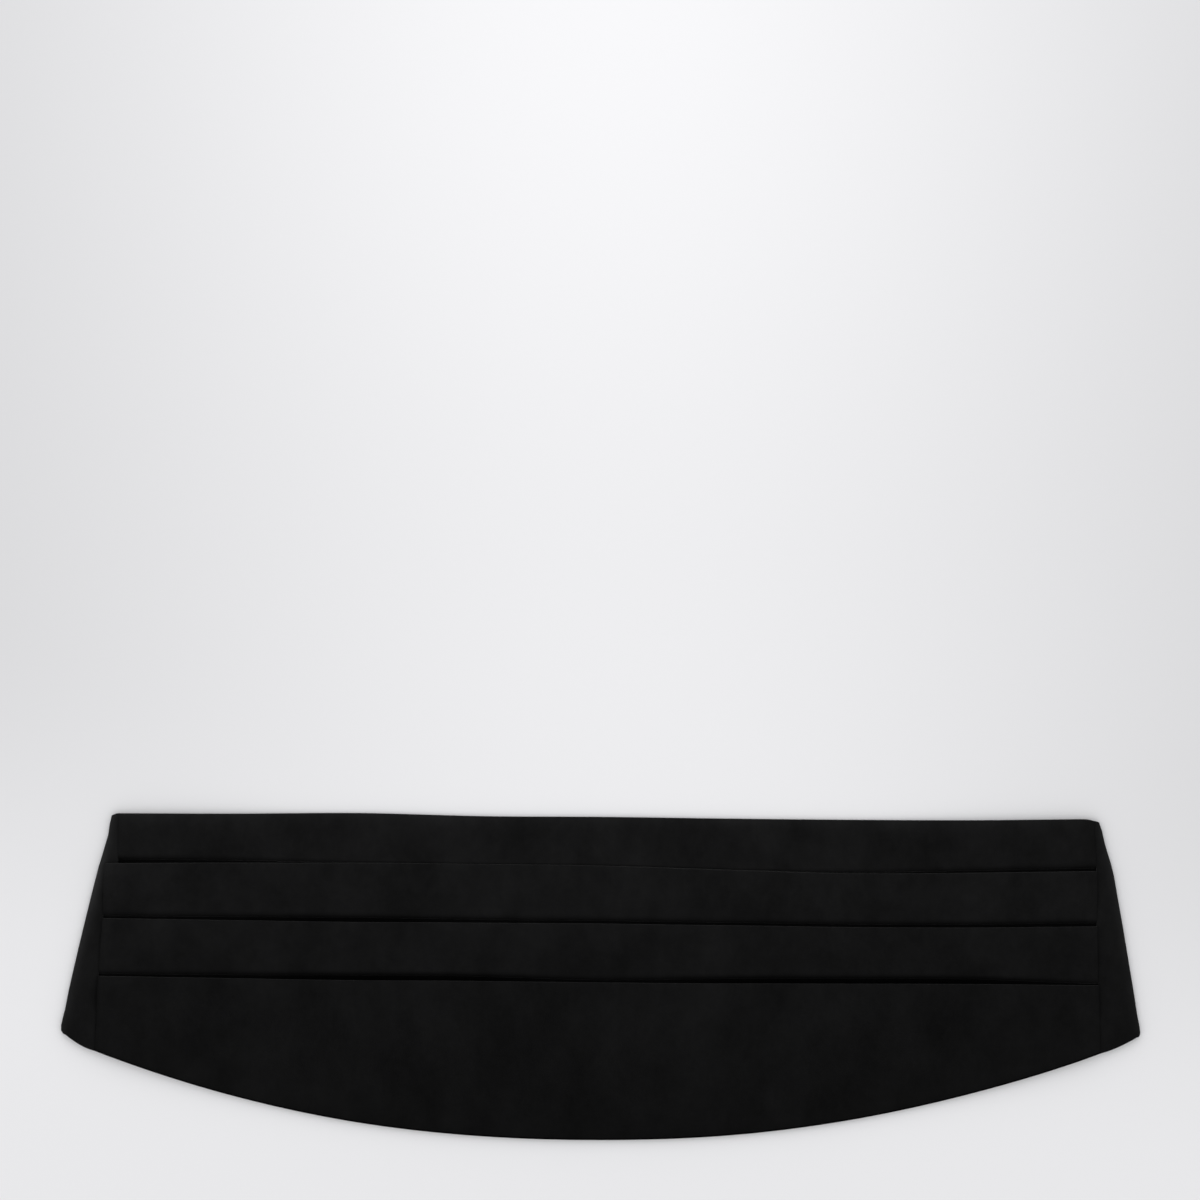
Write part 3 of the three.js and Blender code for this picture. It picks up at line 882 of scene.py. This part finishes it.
def side_section(side, level):
    """A side panel's section at a level, from the seam out to the fold, round it and under the front
    to the strap: positions of the middle of the cloth."""
    settings = bpy.context.scene.cummerbund_side
    fold, seam = fold_point(side, level), seam_point(side, level)
    outward = (fold - seam).normalized()
    high = LEFT_SIDE[1].z - settings.wall / 2
    low = settings.wall / 2
    radius = (high - settings.fold_slope - low) / 2
    centre = fold - outward * (radius + settings.wall / 2)
    start = seam + outward * seam_half_gap(side, level)
    width = (centre - start).length
    reach = (fold - start).length
    bulge = side_setting(side, "bulge") * (1 - smooth_rise(level, 0, BULGE_LEVEL))
    fall = settings.corner_fall * smooth_rise(level, FALL_LEVEL, 1)
    dip = seam_depth(side, level)
    crowd = smooth_rise(width, *CROWD_WIDTHS)

    def lowered(step):
        share = step / reach
        return Vector((0, 4 * bulge * share * (1 - share) + fall * share ** FALL_POWER))

    positions = []
    for i in range(FACE_CELLS + 1):
        share = i / FACE_CELLS
        step = width * share * mix(1, CROWD_SHARE + (1 - CROWD_SHARE) * share, crowd)
        drawn = dip * (1 - smooth_rise(step, 0, settings.seam_width))
        down = settings.fold_slope * smooth_rise(step, width - SLOPE_SPAN[0], width + SLOPE_SPAN[1])
        spot = start + outward * step - lowered(step)
        positions.append(Vector((*spot, high - drawn - down)))
    for point in fold_stretch(0, low + radius, radius, *FOLD_ANGLES, cells=FOLD_CELLS):
        spot = centre + outward * point.x - lowered(width + point.x)
        positions.append(Vector((*spot, point.y)))
    end = Vector((side * (abs(STRAP[0].x) + settings.seam_gap), mix(STRAP[0].y, STRAP[1].y, level)))
    handle = Vector((mix(centre.x, end.x, settings.taper_share), end.y))
    for i in range(1, UNDER_CELLS + 1):
        t = i / UNDER_CELLS
        spot = centre * (1 - t) ** 2 + handle * 2 * t * (1 - t) + end * t * t
        spot -= lowered(width) * (1 - t) ** 2
        positions.append(Vector((*spot, low)))
    return positions


class OBJECT_OT_cummerbund_sides(bpy.types.Operator):
    """Models the two side panels, which turn under along their slanting folds"""

    bl_idname = "object.cummerbund_sides"
    bl_label = "Side panels"

    def execute(self, context):
        settings = context.scene.cummerbund_side
        for side, name in SIDE_NAMES.items():
            levels = [i / settings.rows for i in range(settings.rows + 1)]
            if side < 0:
                levels.reverse()
            sections = [side_section(side, level) for level in levels]
            lengths = [distances(section) for section in sections]

            def place(column, row):
                position, level = sections[row][column], levels[row]
                from_fold = (position - sections[row][FOLD_COLUMN]).to_2d().length
                # Painted highlight along the fold, where light catches its roll.
                painted_highlight = side_value(FOLDS[side], "painted_highlight", level)
                highlight_share = falloff_share(from_fold, settings.highlight_reach * (1 + painted_highlight) / 2)
                painted_tone = 1 + side_setting(side, "painted_highlight") * painted_highlight * highlight_share
                # Painted shade beside the seam.
                painted_tone -= seam_shade(side, level, lengths[row][column])
                # Painted light, paler towards the top and the left, and less steep on the panels.
                painted_tone *= painted_light_tone(position.x, mix(position.y, HIGH.y, settings.even_share))
                return position, (side * lengths[row][column], sections[row][0].y), painted_tone

            columns = len(sections[0]) - 1
            sheet, area = cloth_sheet(f"{name}_side_cloth", columns, settings.rows, place)
            give_wall(sheet, settings.wall)
            stand_for(sheet, f"{name}_side_panel", wool_material())
        return {"FINISHED"}


# The back straps
STRAP_ROWS = 24
RIBBON_EDGE = 0.00025  # rounding of a strap's edges


def strap_section():
    """The left strap's section: along the surface to the clasp, round its outer bar and back."""
    scene = bpy.context.scene
    strap, gap = scene.cummerbund_strap, scene.cummerbund_front.layer_gap
    low = strap.wall / 2
    high = STRAP[1].z - low
    radius = (high - low) / 2
    bend = STRAP[1].x - radius - low
    fall_start = CLASP[0].x - scene.cummerbund_clasp.slot_corner
    fall_end = fall_start - strap.tail_fall
    on_strap = low + strap.wall + gap
    return join_stretches([
        flat_stretch(STRAP[0].x, bend, low, cells=60),
        fold_stretch(bend, (high + low) / 2, radius, -90, 90, cells=12),
        flat_stretch(bend, fall_start, high, cells=4),
        slope_stretch(fall_start, high, fall_end, on_strap, cells=10),
        flat_stretch(fall_end, fall_start - strap.tail, on_strap, cells=12),
    ])


class OBJECT_OT_cummerbund_straps(bpy.types.Operator):
    """Models the two back straps, each looped round a bar of the clasp"""

    bl_idname = "object.cummerbund_straps"
    bl_label = "Back straps"

    def execute(self, context):
        strap = context.scene.cummerbund_strap
        width, middle = STRAP[1].y - STRAP[0].y, (STRAP[0].y + STRAP[1].y) / 2
        points, lengths = strap_section()
        ribbon = ribbon_material()
        for name, turn in (("left", 1), ("right", -1)):

            def place(column, row):
                point = points[column]
                across = mix(-width / 2, width / 2, row / STRAP_ROWS)
                position = Vector((turn * point.x, middle + turn * across, point.y))
                return position, (lengths[column], across), 1.0

            sheet, _ = cloth_sheet(f"{name}_strap_cloth", len(points) - 1, STRAP_ROWS, place)
            give_wall(sheet, strap.wall, RIBBON_EDGE)
            stand_for(sheet, f"{name}_back_strap", ribbon)
        return {"FINISHED"}


# The clasp
class OBJECT_OT_cummerbund_clasp(bpy.types.Operator):
    """Models the plain slotted clasp behind"""

    bl_idname = "object.cummerbund_clasp"
    bl_label = "Clasp"

    def execute(self, context):
        clasp = context.scene.cummerbund_clasp
        middle, half = (CLASP[0] + CLASP[1]) / 2, (CLASP[1] - CLASP[0]) / 2
        bars = (clasp.bar / 2, clasp.bar / 2 + clasp.slot, half.x)
        lines_x = [-x for x in reversed(bars)] + list(bars)
        lines_y = [-half.y, clasp.bar - half.y, half.y - clasp.bar, half.y]
        columns, rows = len(lines_x) - 1, len(lines_y) - 1
        bm = bmesh.new()
        bmesh.ops.create_grid(bm, x_segments=columns, y_segments=rows, size=0.5)
        slots = [f for f in bm.faces if is_slot(f.calc_center_median(), columns, rows)]
        bmesh.ops.delete(bm, geom=slots, context="FACES")
        for vert in bm.verts:
            column, row = grid_place(vert.co, columns, rows)
            vert.co = Vector((lines_x[column], lines_y[row], 0))
        rim_x, rim_y = half.x - clasp.bar / 2, half.y - clasp.bar / 2
        inner = [v for v in bm.verts if abs(v.co.x) < rim_x and abs(v.co.y) < rim_y]
        outer = [v for v in bm.verts if abs(v.co.x) > rim_x and abs(v.co.y) > rim_y]
        for corners, radius, segments in ((outer, clasp.corner, 10), (inner, clasp.slot_corner, 6)):
            bmesh.ops.bevel(bm, geom=corners, offset=radius, segments=segments, affect="VERTICES",
                            offset_type="OFFSET", profile=0.5, material=-1)
        bmesh.ops.translate(bm, verts=bm.verts, vec=(middle.x, middle.y, CLASP[0].z))
        extruded = bmesh.ops.extrude_face_region(bm, geom=bm.faces[:], use_keep_orig=True)
        raised = [item for item in extruded["geom"] if isinstance(item, bmesh.types.BMVert)]
        bmesh.ops.translate(bm, verts=raised, vec=(0, 0, 2 * half.z))
        bmesh.ops.recalc_face_normals(bm, faces=bm.faces)
        plate = new_piece("clasp_plate", bm)
        round_edges(plate, clasp.edge, 60).harden_normals = True
        stand_for(plate, "clasp", nickel_material())
        return {"FINISHED"}


def is_slot(centre, columns, rows):
    """Whether a cell of the clasp's grid is one of its two slots."""
    column = int((centre.x + 0.5) * columns)
    row = int((centre.y + 0.5) * rows)
    return row == 1 and column in (1, 3)


# The stage
PICTURE_SIDE = 1200  # pixels of the picture's frame
OBJECT_SPAN = 1078  # pixels from the left corner to the right one
MIDDLE_BELOW = 376  # pixels from the picture's middle down to the middle of the outline
FLOOR_RADIUS = 6
KEY_SIZE = (1.6, 1.0)
KEY_PLACE = Vector((-0.12, 0.8, 0.8))
# In the floor's painted pool of light, as shares of the view from its middle.
POOL_MIDDLE = 0.019  # across
POOL_LIFT = 0.082  # how much paler the pool is at the view's top edge
POOL_RISE = (-0.437, -0.072)  # heights between which the floor changes from even to the pool


class OBJECT_OT_cummerbund_stage(bpy.types.Operator):
    """Makes the pale floor, the soft light and the camera straight above"""

    bl_idname = "object.cummerbund_stage"
    bl_label = "Stage"

    def execute(self, context):
        scene, stage = context.scene, context.scene.cummerbund_stage
        scene.view_settings.view_transform = "Standard"
        pixel = WIDTH / OBJECT_SPAN
        centre = Vector((0, (LOW.y + HIGH.y) / 2 + MIDDLE_BELOW * pixel, 0))
        view_width = PICTURE_SIDE * pixel

        camera_data = bpy.data.cameras.new("camera")
        camera_data.lens = stage.lens
        camera = bpy.data.objects.new("camera", camera_data)
        distance = view_width * camera_data.lens / camera_data.sensor_width
        camera.location = centre + Vector((0, 0, distance))
        scene.collection.objects.link(camera)
        scene.camera = camera

        bm = bmesh.new()
        bmesh.ops.create_circle(bm, cap_ends=True, segments=64, radius=FLOOR_RADIUS)
        floor = new_piece("floor", bm)
        floor.data.materials.append(floor_material(centre, view_width))

        world = bpy.data.worlds.new("studio")
        scene.world = world
        world.use_nodes = True
        background = world.node_tree.nodes["Background"]
        background.inputs["Color"].default_value = (1, 1, 1, 1)
        background.inputs["Strength"].default_value = stage.sky

        light = bpy.data.lights.new("key", "AREA")
        light.shape = "RECTANGLE"
        light.size, light.size_y = KEY_SIZE
        light.energy = stage.key
        key = bpy.data.objects.new("key", light)
        key.location = KEY_PLACE
        key.rotation_euler = (-KEY_PLACE).to_track_quat("-Z", "Y").to_euler()
        scene.collection.objects.link(key)
        return {"FINISHED"}


def floor_material(centre, view_width):
    """A pale matt surface, painted lightest in a wide soft pool of light above the cummerbund and darker
    towards the view's sides, and even below it.
    """
    stage = bpy.context.scene.cummerbund_stage
    material, tree, shader = new_material("pale_floor")
    scale = (1 / view_width,) * 3
    in_view = mapping_node(tree, object_place(tree), scale, location=-centre / view_width)
    pattern = place_group(tree, pool_group(), {
        "Place": in_view, "Edge": stage.edge_tone, "Middle": stage.pool_tone,
        "Reach": stage.pool_reach, "Tilt": stage.tilt,
    })
    fill_inputs(tree, shader, {
        "Base Color": tinted(tree, stage.floor_colour, pattern["Tone"]),
        "Roughness": 0.9, "Specular IOR Level": 0.1,
    })
    return material


def pool_group():
    """The floor's painted pool of light, darker towards the sides, in shares of the view from its middle.
    It is 1 below the cummerbund.
    """
    group, given, out = new_group(
        "floor_pool",
        {"Place": "Vector", "Edge": "Float", "Middle": "Float", "Reach": "Float", "Tilt": "Float"},
        {"Tone": "Float"},
    )
    place = split_node(group, given["Place"])
    across = math_node(group, "ABSOLUTE", math_node(group, "SUBTRACT", place["X"], POOL_MIDDLE))
    pool = range_node(group, across, 0.0, 1.0, given["Reach"], 0.0, "SMOOTHSTEP")
    lift = range_node(group, place["Y"], 0.0, POOL_LIFT, 0.0, 0.5, "SMOOTHSTEP")
    middle = math_node(group, "ADD", given["Middle"], lift)
    upper = mix_node(group, pool, given["Edge"], middle)
    up = math_node(group, "ADD", place["Y"], math_node(group, "MULTIPLY", place["X"], given["Tilt"]))
    rise = range_node(group, up, 0.0, 1.0, *POOL_RISE, "SMOOTHSTEP")
    fill_inputs(group, out, {"Tone": mix_node(group, rise, 1.0, upper)})
    return group


class VIEW3D_PT_cummerbund(bpy.types.Panel):
    """Lists the steps that make the cummerbund, and all settings"""

    bl_label = "Cummerbund"
    bl_space_type = "VIEW_3D"
    bl_region_type = "UI"
    bl_category = "Cummerbund"

    def draw(self, context):
        for name in SETTINGS:
            if name in STEPS:
                self.layout.operator(STEPS[name].bl_idname)
            settings = getattr(context.scene, f"cummerbund_{name}")
            for entry in settings.__annotations__:
                self.layout.prop(settings, entry)


STEPS = {
    "front": OBJECT_OT_cummerbund_front,
    "side": OBJECT_OT_cummerbund_sides,
    "strap": OBJECT_OT_cummerbund_straps,
    "clasp": OBJECT_OT_cummerbund_clasp,
    "stage": OBJECT_OT_cummerbund_stage,
}
SETTINGS = {
    "cloth": ClothSettings,
    "front": FrontSettings,
    "side": SideSettings,
    "drape": DrapeSettings,
    "strap": StrapSettings,
    "clasp": ClaspSettings,
    "stage": StageSettings,
}


def register():
    for name, settings in SETTINGS.items():
        bpy.utils.register_class(settings)
        pointer = bpy.props.PointerProperty(type=settings)
        setattr(bpy.types.Scene, f"cummerbund_{name}", pointer)
    for operator in STEPS.values():
        bpy.utils.register_class(operator)
    bpy.utils.register_class(VIEW3D_PT_cummerbund)


def unregister():
    bpy.utils.unregister_class(VIEW3D_PT_cummerbund)
    for operator in STEPS.values():
        bpy.utils.unregister_class(operator)
    for name, settings in SETTINGS.items():
        delattr(bpy.types.Scene, f"cummerbund_{name}")
        bpy.utils.unregister_class(settings)


def main():
    register()
    bpy.ops.object.cummerbund_front()
    bpy.ops.object.cummerbund_sides()
    bpy.ops.object.cummerbund_straps()
    bpy.ops.object.cummerbund_clasp()
    bpy.ops.object.cummerbund_stage()


if __name__ == "__main__":
    main()
